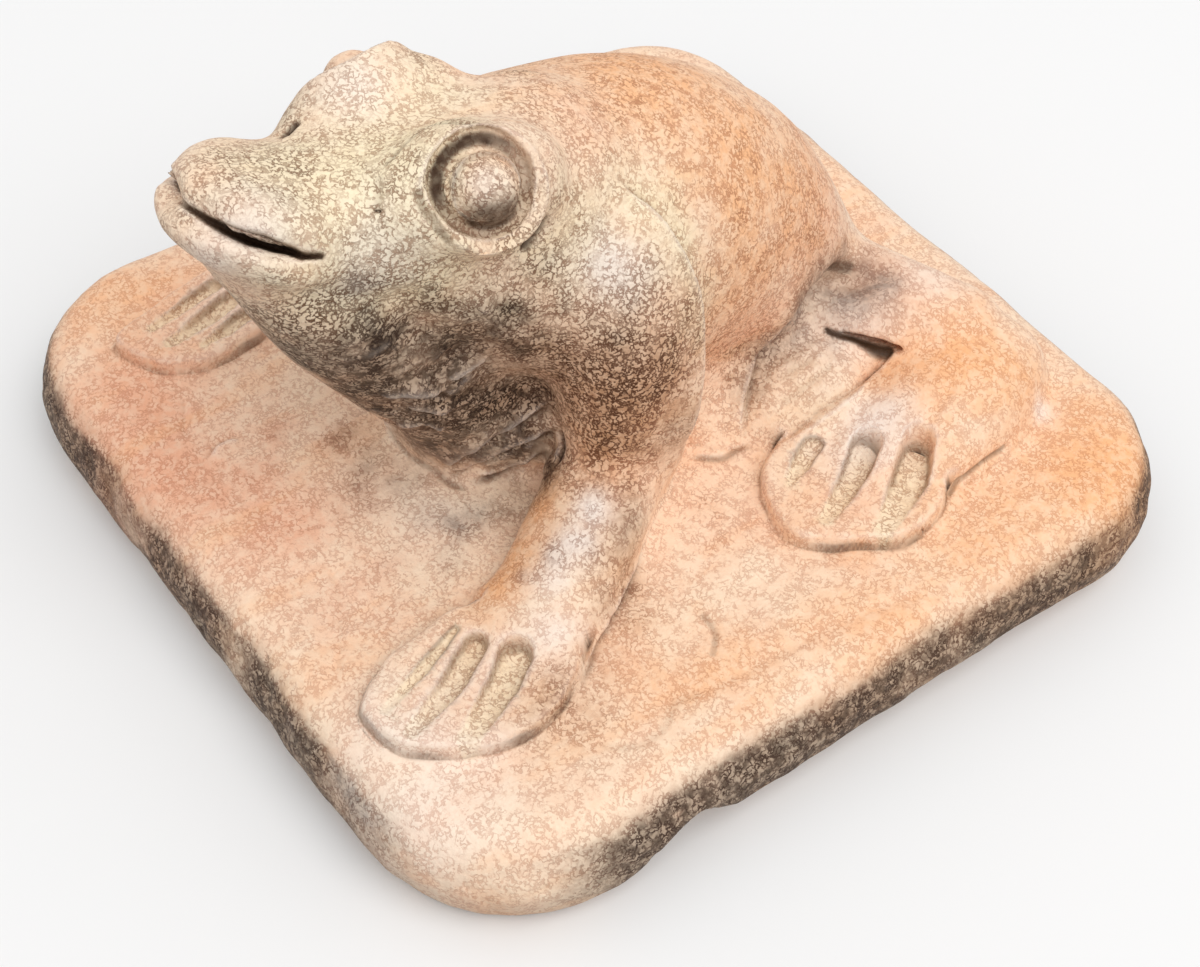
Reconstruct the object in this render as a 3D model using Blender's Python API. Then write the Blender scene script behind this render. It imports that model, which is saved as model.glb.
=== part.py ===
"""A terracotta frog squatting on a square plaque, one piece of hand-modelled and fired clay.

The plaque is a slab cut square with rounded corners. The body, head, arms and legs are rolled lumps of
clay, luted together and smeared over. The eyes are turned pellets in pressed rings, the mouth is a slit,
and the toes are parted by grooves pressed with a stick. The frog looks along -Y. Its left side is +X, and
+Z is up.
"""
import bmesh
import bpy
import numpy as np
from math import cos, pi, radians, sin
from mathutils import Matrix, Vector

MM = 0.001

# The plaque
PLAQUE_SIDE = 100 * MM
PLAQUE_THICKNESS = 13 * MM
PLAQUE_CORNER_RADII = (17 * MM, 16 * MM, 18 * MM, 18.5 * MM)
PLAQUE_EDGE_ROUND = 5 * MM
PLAQUE_TOP = PLAQUE_THICKNESS
BASE_TRIM = 1 * MM

# The eyes: a pellet in a pressed ring, on a stub that leans out and up from the head
EYE_RING_RADIUS = 6.2 * MM
EYE_BALL_RADIUS = 3.3 * MM
EYE_GROOVE_DEPTH = 1.6 * MM
EYE_STUB_HEIGHT = 4.5 * MM

# How the clay is fused and faceted
LUMP_VOXEL = 1.0 * MM
LUMP_SMOOTHING = 14
SKIN_VOXEL = 0.6 * MM
SKIN_SMOOTHING = 4
FACETS = 8000

# The head is set a little askew, its right side lower, about a line along Y over the plaque's middle
HEAD_ROLL = radians(7)
HEAD_PIVOT_HEIGHT = 42 * MM

# The pads of the feet
FOOT_THICKNESS = 1.9 * MM
FOOT_EDGE_ROUND = 0.8 * MM

# Rolls of clay, as rows of centre x, y, height over the plaque, half width and half height, in millimetres
TORSO = (
    (0, 32, 2, 7, 6),
    (0, 26, 7, 11.5, 10),
    (0, 17, 14, 14.3, 15),
    (0, 5, 22, 16.5, 17),
    (0, -8, 28.3, 15.5, 15.3),
    (0, -17, 33.2, 13.5, 12),
)
BELLY = (
    (0, 24, 2, 8, 7),
    (0, 8, 5, 14.5, 12),
    (0, -8, 8, 11, 12),
    (0, -13, 12, 8, 9),
)
HEAD = (
    (0, -8, 33, 12.5, 12),
    (0, -18, 36.8, 11.8, 10),
    (0, -26, 39.8, 11, 8),
    (0, -32, 42, 9.8, 6.4),
    (0, -37.5, 44.6, 8.4, 5),
)
CHEST = (
    (-3.4, -13.2, -1, 6.6, 8.8),
    (-3.2, -13.8, 6, 6.8, 8.8),
    (-2, -15, 12, 8, 8.6),
)
THROAT = (
    (-1.5, -13.5, 5, 8.5, 8.5),
    (-1, -18, 14, 9.4, 9),
    (-0.5, -24.5, 24, 9.8, 8.6),
    (0, -31.2, 33.5, 9.4, 7.6),
    (0, -37.6, 41.6, 7.8, 5),
)
UPPER_LIP = (
    (8.4, -33.6, 45.6, 1.5, 1.6),
    (7.2, -36.2, 46.7, 1.9, 2.0),
    (4.4, -38.9, 48, 2.0, 2.2),
    (0, -40.2, 48.6, 2.1, 2.3),
)
LOWER_LIP = (
    (8.6, -34.8, 42.6, 2.0, 1.9),
    (7.6, -37.9, 43.8, 2.5, 2.4),
    (4.7, -41, 45.4, 2.7, 2.6),
    (0, -42.6, 46, 2.8, 2.6),
)
MOUTH_SLIT = (
    (8.8, -35.8, 44.6, 0.25, 2),
    (7, -38.2, 46, 0.5, 3),
    (4.4, -40.8, 47.5, 0.5, 3),
    (0, -42.4, 48.3, 0.3, 2.4),
)
EYES = {"left": (11.9, -19.3, 45.4), "right": (-11.9, -19.3, 45.4)}
EYE_LEAN = (0.80, -0.12, 0.58)
BROW = (
    (7, -25, 43, 5.2, 5.2),
    (8, -20, 43.6, 6.4, 6.4),
    (7.8, -14.5, 42, 5.6, 5.6),
)
UPPER_ARM = (
    (6, -5.5, 34.5, 6, 7),
    (9.5, -4.8, 30, 7.2, 8),
    (12, -4.4, 24, 7.8, 8),
    (13.2, -4.4, 14, 7.4, 7.6),
    (13.4, -5, 5, 6.8, 7),
)
FOREARM = (
    (13.5, -6, 4.2, 6.8, 6.2),
    (18.5, -13, 3.0, 6.2, 5),
    (23, -20.5, 1.4, 6.2, 4),
    (26, -27.5, 0.4, 6.8, 2.4),
)
FAR_FOREARM = (
    (-13.5, -6, 4.2, 6.8, 6.2),
    (-22, -11.5, 3.0, 6.2, 5),
    (-30, -18, 1.4, 6.2, 4),
    (-34, -25, 0.2, 6.2, 2.0),
)
THIGH = (
    (5, 27, 5.5, 7, 7),
    (11, 29, 5, 7, 6.2),
    (17, 32, 4.2, 7.6, 6),
    (22, 35.5, 2.8, 7.2, 5.5),
)
GROIN = (
    (13, 8, -0.5, 5, 4),
    (14.5, 14, 0.8, 6.4, 5.6),
    (16.5, 20, 1, 7, 5.6),
)
SHIN = (
    (23.5, 37, 0.8, 8, 6),
    (26, 31.5, 0.4, 8.8, 7),
    (28, 24, 0, 8.2, 6.2),
    (28.8, 16, 0, 7.6, 2.8),
)
# Outlines of the feet on the plaque, in millimetres
FRONT_FOOT = (
    (19.6, -28.8), (21, -40), (24.2, -44.4), (29.5, -43.8), (34.6, -38), (36, -32), (33, -25), (27, -21),
)
HIND_FOOT = (
    (20.8, 15), (21.4, 8.4), (25.4, 5.2), (32.2, 4.6), (36.8, 10.5), (38.4, 16.4), (36, 22), (28, 24),
)
FAR_FRONT_FOOT = (
    (-38.6, -24), (-37.2, -33), (-34.7, -39.6), (-30, -38.4),
    (-26.6, -34.4), (-26.2, -28), (-29, -21), (-35, -19),
)
# Toe grooves pressed with a stick: the deep end, the shallow end, the stick's half width and how far the
# deep end rides up the leg, in millimetres
FRONT_GROOVES = (
    ((21.8, -31.5), (25.6, -42.2), 0.8, 0),
    ((24.2, -30.4), (29.8, -40.6), 1.3, 0.2),
    ((28.2, -28.2), (32.2, -37.2), 1.6, 0.3),
)
HIND_GROOVES = (
    ((23.5, 14.6), (26.4, 8.2), 1.25, 0.4),
    ((27.2, 17.2), (31.6, 7.8), 1.45, 1.1),
    ((31.4, 20.6), (35.8, 11.4), 1.6, 1.5),
)
FAR_GROOVES = (
    ((-35.2, -27.5), (-33.2, -36.6), 0.9, 0),
    ((-32.2, -26.8), (-30.4, -36.2), 1.2, 0),
    ((-29.2, -26), (-27.8, -33.2), 1.2, 0),
)
GROOVE_DEPTH = 1.5 * MM
# Clay broken away along the lower left edge of the plaque: x from the plaque's side, y, height over its
# underside, half width and half height, in millimetres
EDGE_CHIP = (
    (-0.2, -36, -0.6, 2.5, 2.2),
    (-0.2, -29, -0.6, 3.8, 3.4),
    (-0.2, -25.5, -0.6, 4.8, 5.8),
    (-0.2, -21, -0.6, 5, 7.6),
    (-0.3, -16.7, -0.6, 4.6, 4.6),
    (-0.4, 1, -0.6, 4.5, 4.5),
    (-0.4, 20, -0.6, 4.5, 5),
    (-0.2, 34, -0.6, 3.4, 3.6),
)
# The crack under the left thigh, as rows of the kind that the rolls have
CREVICE = (
    (12.5, 25, 6, 2.4, 0.4),
    (16.5, 26.5, 6, 3.4, 0.75),
    (20.5, 28.5, 6, 2.6, 0.45),
)


def clear_scene():
    for old in list(bpy.data.objects):
        bpy.data.objects.remove(old, do_unlink=True)


def mesh_object(name, points, faces):
    """A mesh object of points in metres."""
    mesh = bpy.data.meshes.new(name)
    mesh.from_pydata(points, [], faces)
    obj = bpy.data.objects.new(name, mesh)
    bpy.context.scene.collection.objects.link(obj)
    return obj


def tube_faces(rings, sides):
    """Quads between rings of points, and a fan-free cap at each end."""
    faces = []
    for r in range(rings - 1):
        for s in range(sides):
            t = (s + 1) % sides
            faces.append((r * sides + s, r * sides + t, (r + 1) * sides + t, (r + 1) * sides + s))
    faces.append(tuple(reversed(range(sides))))
    faces.append(tuple(range((rings - 1) * sides, rings * sides)))
    return faces


def resampled(rows, steps):
    """Rows on a Catmull-Rom curve through the given ones."""
    padded = np.vstack([2 * rows[0] - rows[1], rows, 2 * rows[-1] - rows[-2]])
    out = []
    for a, b, c, d in zip(padded, padded[1:], padded[2:], padded[3:]):
        for t in np.arange(steps) / steps:
            out.append(0.5 * (2 * b + (c - a) * t + (2 * a - 5 * b + 4 * c - d) * t ** 2
                              + (3 * b - a - 3 * c + d) * t ** 3))
    return np.array(out + [rows[-1]])


def roll(name, stations, across=(1, 0, 0), side=1, squareness=2.0, sides=24, steps=5):
    """A roll of clay through the stations, with round ends. side -1 makes the mirror image across X."""
    rows = np.array(stations, float) * MM
    rows[:, 0] *= side
    rows = resampled(rows, steps)
    centres = rows[:, :3] + (0, 0, PLAQUE_TOP)
    tangents = np.gradient(centres, axis=0)
    tangents /= np.linalg.norm(tangents, axis=1, keepdims=True)
    turn = 2 * pi * np.arange(sides) / sides
    round_x = np.sign(np.cos(turn)) * np.abs(np.cos(turn)) ** (2 / squareness)
    round_y = np.sign(np.sin(turn)) * np.abs(np.sin(turn)) ** (2 / squareness)
    caps = [(0, -sin(a), cos(a)) for a in (1.45, 1.1, 0.7, 0.35)]
    caps += [(i, 0, 1) for i in range(len(rows))]
    caps += [(len(rows) - 1, sin(a), cos(a)) for a in (0.35, 0.7, 1.1, 1.45)]
    points = []
    for i, along, scale in caps:
        t = Vector(tangents[i])
        lateral = Vector(across)
        lateral = (lateral - lateral.dot(t) * t).normalized()
        normal = lateral.cross(t)
        width, height = rows[i, 3], rows[i, 4]
        centre = Vector(centres[i]) + t * (along * min(width, height))
        for x, y in zip(round_x, round_y):
            points.append(centre + lateral * (width * scale * x) + normal * (height * scale * y))
    obj = mesh_object(name, points, tube_faces(len(caps), sides))
    outward(obj)
    return obj


def outward(obj):
    """Turns the faces of a closed mesh to point out."""
    bm = bmesh.new()
    bm.from_mesh(obj.data)
    bmesh.ops.recalc_face_normals(bm, faces=bm.faces)
    bm.to_mesh(obj.data)
    bm.free()


def rounded_square(half, radii, z, arc_steps=8):
    """The points of a square outline with round corners, at height z."""
    points = []
    for corner, radius in enumerate(radii):
        sx, sy = ((1, 1), (-1, 1), (-1, -1), (1, -1))[corner]
        for k in range(arc_steps + 1):
            a = (corner + k / arc_steps) * pi / 2
            x = sx * (half - radius) + radius * cos(a)
            y = sy * (half - radius) + radius * sin(a)
            points.append(Vector((x, y, z)))
    return points


def plaque():
    """The slab, with its upper and lower edges rolled round."""
    rings = []
    for k in range(9):
        a = -pi / 2 + pi * k / 8
        drop = PLAQUE_EDGE_ROUND * (1 - cos(a))
        half = PLAQUE_SIDE / 2 - drop
        z = (PLAQUE_THICKNESS + BASE_TRIM) / 2 * (1 + sin(a)) - BASE_TRIM
        rings.append(rounded_square(half, [radius - drop for radius in PLAQUE_CORNER_RADII], z))
    points = [point for ring in rings for point in ring]
    obj = mesh_object("plaque", points, tube_faces(len(rings), len(rings[0])))
    outward(obj)
    return obj


def fuse(name, parts, voxel, smoothing):
    """Joins the parts into one skin of clay, and smooths it."""
    bm = bmesh.new()
    for part in parts:
        bm.from_mesh(part.data)
    mesh = bpy.data.meshes.new(name)
    bm.to_mesh(mesh)
    bm.free()
    obj = bpy.data.objects.new(name, mesh)
    bpy.context.scene.collection.objects.link(obj)
    remesh = obj.modifiers.new("luting", "REMESH")
    remesh.mode = "VOXEL"
    remesh.voxel_size = voxel
    smooth = obj.modifiers.new("smearing", "SMOOTH")
    smooth.factor = 0.5
    smooth.iterations = smoothing
    apply_modifiers(obj)
    for part in parts:
        bpy.data.objects.remove(part, do_unlink=True)
    return obj


def apply_modifiers(obj):
    graph = bpy.context.evaluated_depsgraph_get()
    mesh = bpy.data.meshes.new_from_object(obj.evaluated_get(graph))
    obj.modifiers.clear()
    obj.data = mesh


def both_sides(name, stations, **kw):
    return [roll(f"{name}_{label}", stations, side=side, **kw)
            for label, side in (("left", 1), ("right", -1))]


def lip(name, stations, **kw):
    mirrored = [(-x, y, z, w, h) for x, y, z, w, h in stations[:-1]]
    return roll(name, tuple(stations) + tuple(reversed(mirrored)), across=(0, 0, 1), **kw)


def head_roll():
    """The turn that sets the head askew."""
    pivot = Matrix.Translation((0, 0, PLAQUE_TOP + HEAD_PIVOT_HEIGHT))
    return pivot @ Matrix.Rotation(-HEAD_ROLL, 4, "Y") @ pivot.inverted()


def turned(name, profile, place, sides=32):
    """A closed solid of revolution from a profile of radius and height, placed by a matrix."""
    points = [Vector((r * cos(2 * pi * k / sides), r * sin(2 * pi * k / sides), z))
              for r, z in profile for k in range(sides)]
    obj = mesh_object(name, points, tube_faces(len(profile), sides))
    obj.data.transform(place)
    outward(obj)
    return obj


def eye_place(label):
    """The frame of an eye, with Z out of its ring."""
    x, y, z = EYES[label]
    axis = Vector((EYE_LEAN[0] * (1 if x > 0 else -1), EYE_LEAN[1], EYE_LEAN[2])).normalized()
    middle = Vector((x, y, z)) * MM + Vector((0, 0, PLAQUE_TOP))
    return head_roll() @ Matrix.Translation(middle) @ axis.to_track_quat("Z", "Y").to_matrix().to_4x4()


def eye_disc(label):
    """The flattened pellet that the eye is pressed into."""
    r, h, bevel = EYE_RING_RADIUS, EYE_STUB_HEIGHT, 0.9 * MM
    profile = [(0.01 * MM, 0.2 * MM), (0.5 * r, 0.2 * MM)]
    profile += [(r - bevel * (1 - sin(a)), -bevel * (1 - cos(a))) for a in np.linspace(0, pi / 2, 5)]
    profile += [(r, -h), (0.5 * r, -h - 1 * MM), (0.01 * MM, -h - 1 * MM)]
    return turned(f"eye_disc_{label}", profile, eye_place(label))


def eye_groove(label, sides=32, loop=10):
    """The ring groove pressed round the ball of the eye."""
    width = (EYE_RING_RADIUS - EYE_BALL_RADIUS) * 0.32
    middle = EYE_BALL_RADIUS + width * 0.9
    points = []
    for tilt in 2 * pi * np.arange(loop) / loop:
        reach = middle + width * cos(tilt)
        z = EYE_GROOVE_DEPTH * sin(tilt) + 0.1 * MM
        points += [Vector((reach * cos(a), reach * sin(a), z)) for a in 2 * pi * np.arange(sides) / sides]
    faces = []
    for i in range(loop):
        a, b = i * sides, (i + 1) % loop * sides
        faces += [(a + k, a + (k + 1) % sides, b + (k + 1) % sides, b + k) for k in range(sides)]
    obj = mesh_object(f"eye_groove_{label}", points, faces)
    obj.data.transform(eye_place(label))
    outward(obj)
    return obj


def eye_ball(label):
    """The ball of the eye, pressed into the middle of its ring."""
    bm = bmesh.new()
    sunk = Matrix.Translation((0, 0, -0.35 * EYE_BALL_RADIUS))
    bmesh.ops.create_icosphere(bm, subdivisions=3, radius=EYE_BALL_RADIUS, matrix=eye_place(label) @ sunk)
    mesh = bpy.data.meshes.new(f"eye_ball_{label}")
    bm.to_mesh(mesh)
    bm.free()
    obj = bpy.data.objects.new(mesh.name, mesh)
    bpy.context.scene.collection.objects.link(obj)
    return obj


def closed_curve(outline, steps=6):
    """A Catmull-Rom loop through the points of an outline."""
    p = np.array(outline, float) * MM
    out = []
    for i in range(len(p)):
        a, b, c, d = p[i - 1], p[i], p[(i + 1) % len(p)], p[(i + 2) % len(p)]
        for t in np.arange(steps) / steps:
            out.append(0.5 * (2 * b + (c - a) * t + (2 * a - 5 * b + 4 * c - d) * t ** 2
                              + (3 * b - a - 3 * c + d) * t ** 3))
    return np.array(out)


def foot(name, outline, side=1):
    """A pad of clay on the plaque, with its upper edge rounded."""
    rim = closed_curve(outline) * (side, 1)
    middle = rim.mean(axis=0)
    reach = np.linalg.norm(rim - middle, axis=1, keepdims=True)
    inward = (middle - rim) / reach
    rings = [(0, -2 * MM), (0, FOOT_THICKNESS - FOOT_EDGE_ROUND)]
    rings += [(FOOT_EDGE_ROUND * (1 - cos(a)), FOOT_THICKNESS - FOOT_EDGE_ROUND * (1 - sin(a)))
              for a in (pi / 6, pi / 3, pi / 2)]
    points = [Vector((x, y, PLAQUE_TOP + z)) for inset, z in rings for x, y in rim + inward * inset]
    obj = mesh_object(name, points, tube_faces(len(rings), len(rim)))
    outward(obj)
    return obj


def groove(name, start, end, half_width, rise, side=1):
    """The stick that presses one groove, deep at its rounded upper end and shallow towards the toes."""
    depth, top, thick = GROOVE_DEPTH / MM, FOOT_THICKNESS / MM, 4
    rows = ((*start, top + thick - depth + rise, half_width, thick),
            (*end, top + thick - 0.35 * depth, half_width * 0.9, thick))
    return roll(name, rows, side=side, squareness=3.0, sides=12, steps=1)


def edge_chip():
    """The broken lower edge on the frog's left side."""
    rows = [(PLAQUE_SIDE / 2 / MM + x, y, z - PLAQUE_TOP / MM, w, h) for x, y, z, w, h in EDGE_CHIP]
    return roll("edge_chip", rows, sides=12, steps=2)


def combine(target, tools, operation):
    """Adds the tools to the clay, or takes them out of it."""
    for tool in tools:
        tool.hide_render = True
        tool.display_type = "WIRE"
        pressed = target.modifiers.new(tool.name, "BOOLEAN")
        pressed.operation = operation
        pressed.solver = "EXACT"
        pressed.object = tool


def bed():
    """The board that the plaque was pressed on, which leaves its underside flat."""
    half = 0.75 * PLAQUE_SIDE
    outline = ((-half, -half), (half, -half), (half, half), (-half, half))
    corners = [Vector((x, y, z)) for z in (-8 * MM, 0) for x, y in outline]
    obj = mesh_object("bed", corners, tube_faces(2, 4))
    outward(obj)
    return obj


def fired_clay():
    """Unglazed fired clay, pale orange."""
    clay = bpy.data.materials.new("fired_clay")
    clay.use_nodes = True
    shader = clay.node_tree.nodes["Principled BSDF"]
    shader.inputs["Base Color"].default_value = (0.52, 0.26, 0.145, 1)
    shader.inputs["Roughness"].default_value = 0.6
    return clay


def build():
    clear_scene()
    askew = head_roll()
    head = [roll("head", HEAD), lip("upper_lip", UPPER_LIP), lip("lower_lip", LOWER_LIP)]
    head += both_sides("brow", BROW)
    for part in head:
        part.data.transform(askew)
    lumps = head + [roll("torso", TORSO), roll("belly", BELLY), roll("throat", THROAT)]
    lumps += [roll("chest", CHEST, squareness=3)]
    lumps += both_sides("upper_arm", UPPER_ARM) + both_sides("groin", GROIN)
    lumps += both_sides("thigh", THIGH, across=(0, 1, 0))
    lumps += [eye_disc("left"), eye_disc("right")]
    body = fuse("body", lumps, LUMP_VOXEL, LUMP_SMOOTHING)
    skin = [body, plaque(), eye_disc("left"), eye_disc("right")]
    skin += both_sides("shin", SHIN) + [roll("forearm", FOREARM), roll("far_forearm", FAR_FOREARM)]
    skin += [foot("front_foot", FRONT_FOOT), foot("far_front_foot", FAR_FRONT_FOOT)]
    skin += [foot(f"hind_foot_{side}", HIND_FOOT, side) for side in (1, -1)]
    frog = fuse("frog_figurine", skin, SKIN_VOXEL, SKIN_SMOOTHING)
    thin = frog.modifiers.new("facets", "DECIMATE")
    thin.ratio = FACETS / (2 * len(frog.data.polygons))
    apply_modifiers(frog)
    grooves = [groove(f"front_groove_{i}", *row) for i, row in enumerate(FRONT_GROOVES)]
    grooves += [groove(f"far_groove_{i}", *row) for i, row in enumerate(FAR_GROOVES)]
    grooves += [groove(f"hind_groove_{i}_{side}", *row, side=side)
                for i, row in enumerate(HIND_GROOVES) for side in (1, -1)]
    slit = lip("mouth_slit", MOUTH_SLIT, sides=10, steps=3)
    slit.data.transform(askew)
    grooves += [edge_chip(), roll("crevice", CREVICE, across=(0, 1, -0.2), sides=10, steps=2)]
    combine(frog, grooves + [slit, eye_groove("left"), eye_groove("right")], "DIFFERENCE")
    combine(frog, [eye_ball("left"), eye_ball("right")], "UNION")
    combine(frog, [bed()], "DIFFERENCE")
    frog.data.materials.append(fired_clay())
    frog.data.shade_smooth()
    return frog


build()
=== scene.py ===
from math import cos, radians, sin

import bmesh
import bpy
import numpy as np
from mathutils import Matrix, Vector


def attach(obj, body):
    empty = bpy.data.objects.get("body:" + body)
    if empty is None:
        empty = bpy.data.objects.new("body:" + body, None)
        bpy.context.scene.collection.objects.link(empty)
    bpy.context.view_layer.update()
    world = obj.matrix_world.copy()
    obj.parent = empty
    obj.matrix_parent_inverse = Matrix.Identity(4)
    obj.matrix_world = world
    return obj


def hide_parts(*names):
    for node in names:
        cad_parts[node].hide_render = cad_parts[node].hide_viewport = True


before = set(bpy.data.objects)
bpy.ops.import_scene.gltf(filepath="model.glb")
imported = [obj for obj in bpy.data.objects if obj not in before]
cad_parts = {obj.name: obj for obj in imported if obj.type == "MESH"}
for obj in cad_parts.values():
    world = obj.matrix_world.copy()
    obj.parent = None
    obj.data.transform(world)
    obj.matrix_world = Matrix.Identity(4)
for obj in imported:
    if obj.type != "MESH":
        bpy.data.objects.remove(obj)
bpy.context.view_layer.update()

# ---------------------------------------------------------------------------------------
# The frog on its plaque.
# Red earthenware in one lump, modelled by hand and fired bare: the toes are pressed with a stick,
# the mouth is cut with a blade, and smoke has browned the throat, the chest and the slab's sides. Shade is
# painted into the colour there and in the cuts and hollows, and highlights are painted on the sheen.
# ---------------------------------------------------------------------------------------

# All sculpting sizes are in millimetres.
MM = 0.001
PLAQUE_TOP = 13.0
SKIN_GRID = 0.3
SKIN_TRIANGLES = 194000
FACET_PASSES = 28


def with_modifier(obj, kind, **settings):
    """Gives the object one modifier, and makes the result its mesh."""
    modifier = obj.modifiers.new(kind.lower(), kind)
    for name, value in settings.items():
        setattr(modifier, name, value)
    graph = bpy.context.evaluated_depsgraph_get()
    worked = bpy.data.meshes.new_from_object(obj.evaluated_get(graph))
    obj.modifiers.clear()
    obj.data = worked


def points_of(mesh):
    """The mesh's points in millimetres."""
    flat = np.empty(len(mesh.vertices) * 3, np.float32)
    mesh.vertices.foreach_get("co", flat)
    return flat.reshape(-1, 3).astype(np.float64) / MM


def normals_of(mesh):
    """The way out of the clay at each point, one unit long."""
    flat = np.empty(len(mesh.vertices) * 3, np.float32)
    mesh.vertex_normals.foreach_get("vector", flat)
    return flat.reshape(-1, 3).astype(np.float64)


def edges_of(mesh):
    """The two ends of each edge, by number."""
    flat = np.empty(len(mesh.edges) * 2, np.int32)
    mesh.edges.foreach_get("vertices", flat)
    return flat.reshape(-1, 2)


def put_back(mesh, points):
    """Moves the mesh's points to these places in millimetres."""
    mesh.vertices.foreach_set("co", (points * MM).astype(np.float32).ravel())
    mesh.update()


def spread(values, edges, passes, hold=0.0):
    """Each pass moves a value half way to the mean of its neighbours; hold (0 to 1) keeps it in place."""
    a, b = edges.T
    count = np.bincount(edges.ravel(), minlength=len(values))
    give = 0.5 * (1 - hold)
    for _ in range(passes):
        sums = [np.bincount(a, column[b], len(values)) + np.bincount(b, column[a], len(values))
                for column in values.T]
        mean = np.stack(sums, axis=1) / count[:, None]
        values = values + np.reshape(give, (-1, 1)) * (mean - values)
    return values


def ramp(values, low, high):
    """A smooth step from 0 at low to 1 at high."""
    t = np.clip((values - low) / (high - low), 0, 1)
    return t * t * (3 - 2 * t)


def nearest_on(points, path):
    """For each point, how far it lies from a bent line, and how far along the line (0 to 1) it lies.

    Each straight piece of the line gives a distance, and the least one counts."""
    path = np.array(path, float)
    steps = np.linalg.norm(np.diff(path, axis=0), axis=1)
    starts = np.concatenate([[0], np.cumsum(steps)])
    best = np.full(len(points), np.inf)
    along = np.zeros(len(points))
    for start, end, length, before in zip(path, path[1:], steps, starts):
        t = np.clip((points - start) @ (end - start) / length ** 2, 0, 1)
        gap = np.linalg.norm(points - start - t[:, None] * (end - start), axis=1)
        closer = gap < best
        best[closer] = gap[closer]
        along[closer] = (before + t * length)[closer] / starts[-1]
    return best, along


def draped(points, path, step=0.6):
    """The path with a place every step or so, each moved to the skin's nearest point and evened out."""
    path = np.array(path, float)
    lengths = np.concatenate([[0], np.cumsum(np.linalg.norm(np.diff(path, axis=0), axis=1))])
    at = np.linspace(0, lengths[-1], max(3, int(lengths[-1] / step) + 1))
    dense = np.stack([np.interp(at, lengths, column) for column in path.T], axis=1)
    close = points[within(points, path, 4)]
    laid = np.array([close[np.argmin(((close - place) ** 2).sum(axis=1))] for place in dense])
    laid[1:-1] = (laid[:-2] + 2 * laid[1:-1] + laid[2:]) / 4
    return laid


def within(points, path, margin):
    """Which points lie in the path's box, made larger by a margin."""
    low, high = np.min(path, axis=0) - margin, np.max(path, axis=0) + margin
    return np.flatnonzero(((points > low) & (points < high)).all(axis=1))


def lattice_noise(points, size, seed):
    """Smooth noise from -1 to 1: random values at the corners of cells of the given size, blended between."""
    values = np.random.default_rng(seed).uniform(-1, 1, (64, 64, 64))
    cell = np.floor(points / size).astype(int)
    t = points / size - cell
    t = t * t * (3 - 2 * t)
    total = np.zeros(len(points))
    for corner in range(8):
        pick = np.array([corner & 1, corner >> 1 & 1, corner >> 2])
        share = np.prod(np.where(pick, t, 1 - t), axis=1)
        x, y, z = ((cell + pick) % 64).T
        total += share * values[x, y, z]
    return total


def closed_curve(outline, steps=8):
    """A Catmull-Rom loop through the corners of an outline: between two corners b and c, with a before them
    and d after, a cubic in t whose slope at each corner is half the way between that corner's neighbours."""
    p = np.array(outline, float)
    a, c, d = np.roll(p, 1, axis=0), np.roll(p, -1, axis=0), np.roll(p, -2, axis=0)
    t = (np.arange(steps) / steps)[None, :, None]
    a, b, c, d = (q[:, None, :] for q in (a, p, c, d))
    squared, cubed = 2 * a - 5 * b + 4 * c - d, 3 * b - a - 3 * c + d
    return 0.5 * (2 * b + (c - a) * t + squared * t ** 2 + cubed * t ** 3).reshape(-1, 2)


def depth_inside(points, loop):
    """How far each point lies inside a closed loop seen from above, with minus signs outside.

    A point is inside where a line from it to the far right crosses the loop an odd number of times."""
    gap, _ = nearest_on(points[:, :2], np.vstack([loop, loop[:1]]))
    x, y = points[:, 0], points[:, 1]
    inside = np.zeros(len(points), bool)
    for (x0, y0), (x1, y1) in zip(loop, np.roll(loop, -1, axis=0)):
        if y0 != y1:
            inside ^= ((y0 > y) != (y1 > y)) & (x < (x1 - x0) * (y - y0) / (y1 - y0) + x0)
    return np.where(inside, gap, -gap)


# The four foot pads seen from above, and the stick marks between their toes. A stick mark has
# its deep upper end, a middle place and its toe end, each with x, y, half width and floor height.
FOOT_HEIGHT = 1.9
FOOT_EDGE = 0.75
FRONT_FOOT = (
    (19.6, -28.8), (19.9, -35.5), (21, -40.2), (24.2, -44.0), (29.5, -43.6), (33.4, -39.6),
    (35.6, -33.6), (34.6, -27.4), (30.5, -22.5), (26, -20.5),
)
HIND_FOOT = (
    (20.8, 15), (21.4, 9.4), (24.2, 6.0), (28, 4.4), (32.2, 4.6), (36, 8.8), (38.4, 14),
    (37.4, 19.4), (33.6, 23), (28, 24),
)
FAR_FRONT_FOOT = (
    (-38.6, -24), (-37.2, -33), (-34.7, -39.6), (-30, -38.4), (-26.6, -34.4), (-26.2, -28),
    (-29, -21), (-35, -19),
)
FRONT_MARKS = (
    ((21.8, -31.6, 0.35, 1.6), (23.8, -36.4, 0.6, 1.2), (26.1, -42.6, 0.5, 1.75)),
    ((24.5, -31.0, 1.2, 0.5), (27.0, -35.2, 1.1, 0.6), (29.8, -41.9, 0.8, 1.7)),
    ((28.0, -28.6, 1.6, 0.5), (30.2, -31.6, 1.45, 0.6), (33.6, -37.8, 1.1, 1.7)),
)
HIND_MARKS = (
    ((23.3, 13.6, 1.0, 1.1), (24.7, 10.6, 0.95, 1.1), (26.3, 7.8, 0.5, 1.8)),
    ((27.4, 17.2, 1.5, 1.1), (29.1, 14.6, 1.3, 0.7), (32.4, 7.9, 0.8, 1.7)),
    ((31.2, 21.2, 1.3, 1.3), (33.2, 18.7, 1.75, 0.7), (36.9, 12.0, 1.0, 1.7)),
)
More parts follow.
